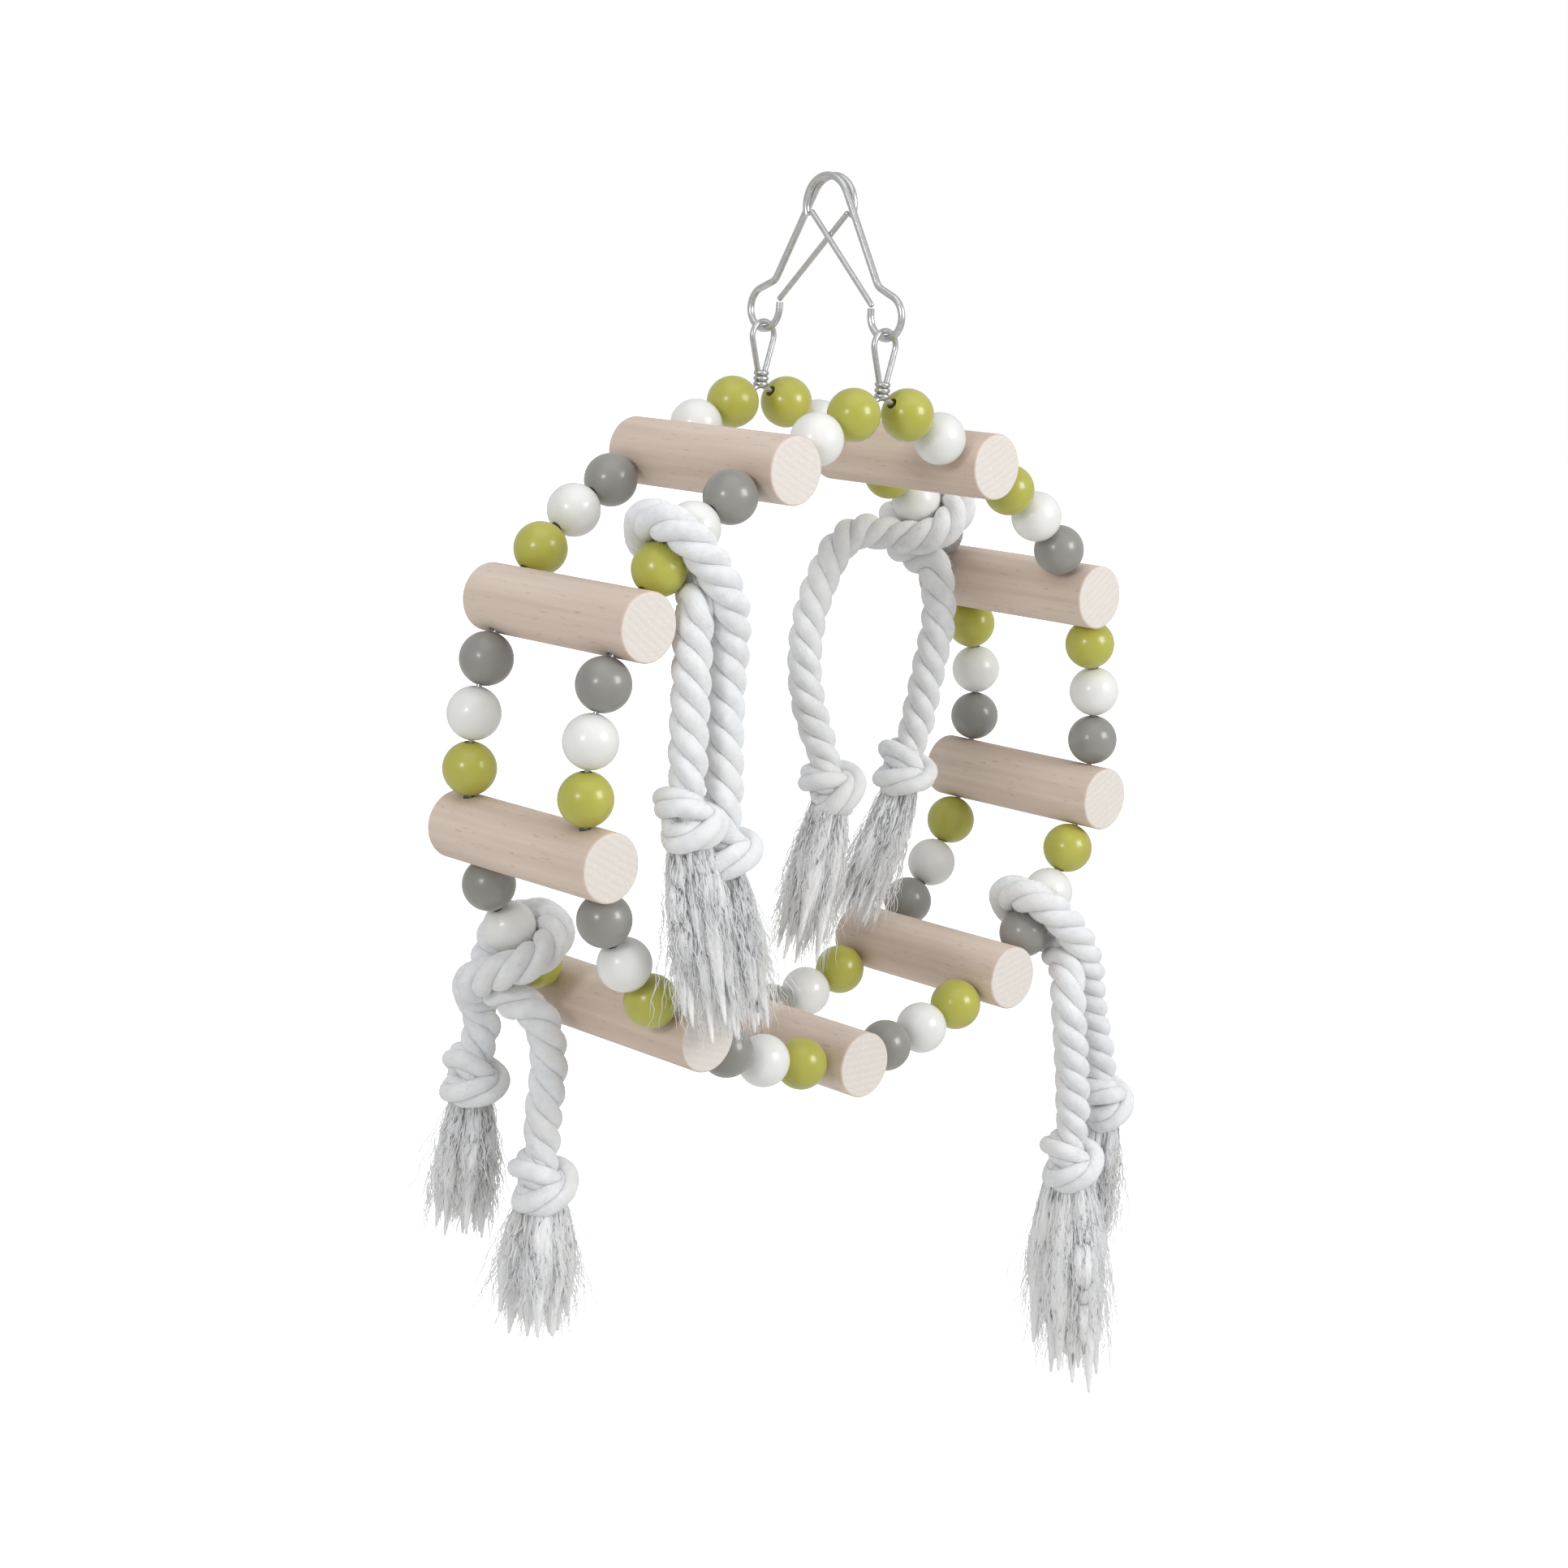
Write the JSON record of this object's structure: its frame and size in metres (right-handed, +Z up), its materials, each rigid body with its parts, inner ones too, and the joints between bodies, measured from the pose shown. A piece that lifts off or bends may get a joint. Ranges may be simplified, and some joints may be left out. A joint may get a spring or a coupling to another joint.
{
  "type": "rope ladder",
  "caption": "Ring-shaped hanging ladder of wooden rungs and lacquered beads strung on two wire rings, with snap hooks and knotted cotton rope tassels.",
  "frame": {"origin": "the middle of the bar seat: the inner top of the two snap hooks' upper bends, which lie side by side on the bar", "axes": "+Z up; Y along the rungs, with the front ring on the -Y side; X across the ring, +X to the right seen from the front"},
  "size_m": [0.2294, 0.1069, 0.3703],
  "materials": {
    "rung_wood": "plain sanded beech, pale pinkish brown, fine straight grain",
    "olive_lacquer": "wooden bead, glossy olive yellow lacquer",
    "white_lacquer": "wooden bead, glossy off-white lacquer",
    "grey_lacquer": "wooden bead, glossy warm grey lacquer",
    "ring_steel": "bright drawn steel wire",
    "hook_steel": "nickel-plated spring wire",
    "rope_cotton": "three-strand twisted cotton, soft and slightly fuzzy",
    "tassel_cotton": "frayed cotton yarn ends"
  },
  "bodies": {
    "hooks": {"front_hook_frame": "hook_steel", "back_hook_frame": "hook_steel"},
    "front_gate": {"front_hook_gate": "hook_steel"},
    "back_gate": {"back_hook_gate": "hook_steel"},
    "ladder": {"rung_1": "rung_wood", "rung_2": "rung_wood", "rung_3": "rung_wood", "rung_4": "rung_wood", "rung_5": "rung_wood", "rung_6": "rung_wood", "rung_7": "rung_wood", "rung_8": "rung_wood", "rung_9": "rung_wood", "olive_beads_front_left": "olive_lacquer", "olive_beads_front_right": "olive_lacquer", "white_beads_front_left": "white_lacquer", "white_beads_front_right": "white_lacquer", "grey_beads_front_left": "grey_lacquer", "grey_beads_front_right": "grey_lacquer", "olive_beads_back_left": "olive_lacquer", "olive_beads_back_right": "olive_lacquer", "white_beads_back_left": "white_lacquer", "white_beads_back_right": "white_lacquer", "grey_beads_back_left": "grey_lacquer", "grey_beads_back_right": "grey_lacquer", "front_ring_wire": "ring_steel", "front_hanging_eye": "ring_steel", "back_ring_wire": "ring_steel", "back_hanging_eye": "ring_steel"},
    "front_left_rope": {"front_left_rope_hitch": "rope_cotton", "front_left_rope_tail_1": "rope_cotton", "front_left_rope_tail_2": "rope_cotton", "front_left_rope_knot_1": "rope_cotton", "front_left_rope_knot_2": "rope_cotton", "front_left_rope_tassel_1": "tassel_cotton", "front_left_rope_tassel_2": "tassel_cotton"},
    "front_right_rope": {"front_right_rope_hitch": "rope_cotton", "front_right_rope_tail_1": "rope_cotton", "front_right_rope_tail_2": "rope_cotton", "front_right_rope_knot_1": "rope_cotton", "front_right_rope_knot_2": "rope_cotton", "front_right_rope_tassel_1": "tassel_cotton", "front_right_rope_tassel_2": "tassel_cotton"},
    "back_right_rope": {"back_right_rope_hitch": "rope_cotton", "back_right_rope_tail_1": "rope_cotton", "back_right_rope_tail_2": "rope_cotton", "back_right_rope_knot_1": "rope_cotton", "back_right_rope_knot_2": "rope_cotton", "back_right_rope_tassel_1": "tassel_cotton", "back_right_rope_tassel_2": "tassel_cotton"},
    "back_left_rope": {"back_left_rope_hitch": "rope_cotton", "back_left_rope_tail_1": "rope_cotton", "back_left_rope_tail_2": "rope_cotton", "back_left_rope_knot_1": "rope_cotton", "back_left_rope_knot_2": "rope_cotton", "back_left_rope_tassel_1": "tassel_cotton", "back_left_rope_tassel_2": "tassel_cotton"}
  },
  "joints": [
    {"name": "back_gate_hinge", "type": "hinge", "parent": "hooks", "child": "back_gate", "pos_m": [0.00027, 0.0187, -0.034], "axis": [0.9996, 0, -0.0295], "range_deg": [-15, 0], "stiffness_Nm_per_rad": 0.02, "springref_deg": 11.46},
    {"name": "front_gate_hinge", "type": "hinge", "parent": "hooks", "child": "front_gate", "pos_m": [-0.00027, -0.0187, -0.034], "axis": [0.9996, 0, 0.0295], "range_deg": [0, 15], "stiffness_Nm_per_rad": 0.02, "springref_deg": -11.46},
    {"name": "ladder_swing", "type": "hinge", "parent": "hooks", "child": "ladder", "pos_m": [0, 0, -0.043], "axis": [0, 1, 0], "range_deg": [-25, 25]},
    {"name": "front_left_rope_swing", "type": "hinge", "parent": "ladder", "child": "front_left_rope", "pos_m": [-0.07387, -0.0247, -0.09883], "axis": [0.7359, 0, 0.6771], "range_deg": [-50, 0]},
    {"name": "front_right_rope_swing", "type": "hinge", "parent": "ladder", "child": "front_right_rope", "pos_m": [0.08038, -0.0247, -0.21577], "axis": [0.6562, 0, 0.7545], "range_deg": [-50, 15]},
    {"name": "back_right_rope_swing", "type": "hinge", "parent": "ladder", "child": "back_right_rope", "pos_m": [0.07387, 0.0247, -0.09883], "axis": [-0.7359, 0, 0.6771], "range_deg": [-40, 20]},
    {"name": "back_left_rope_swing", "type": "hinge", "parent": "ladder", "child": "back_left_rope", "pos_m": [-0.08038, 0.0247, -0.21577], "axis": [-0.6562, 0, 0.7545], "range_deg": [-40, 20]}
  ]
}
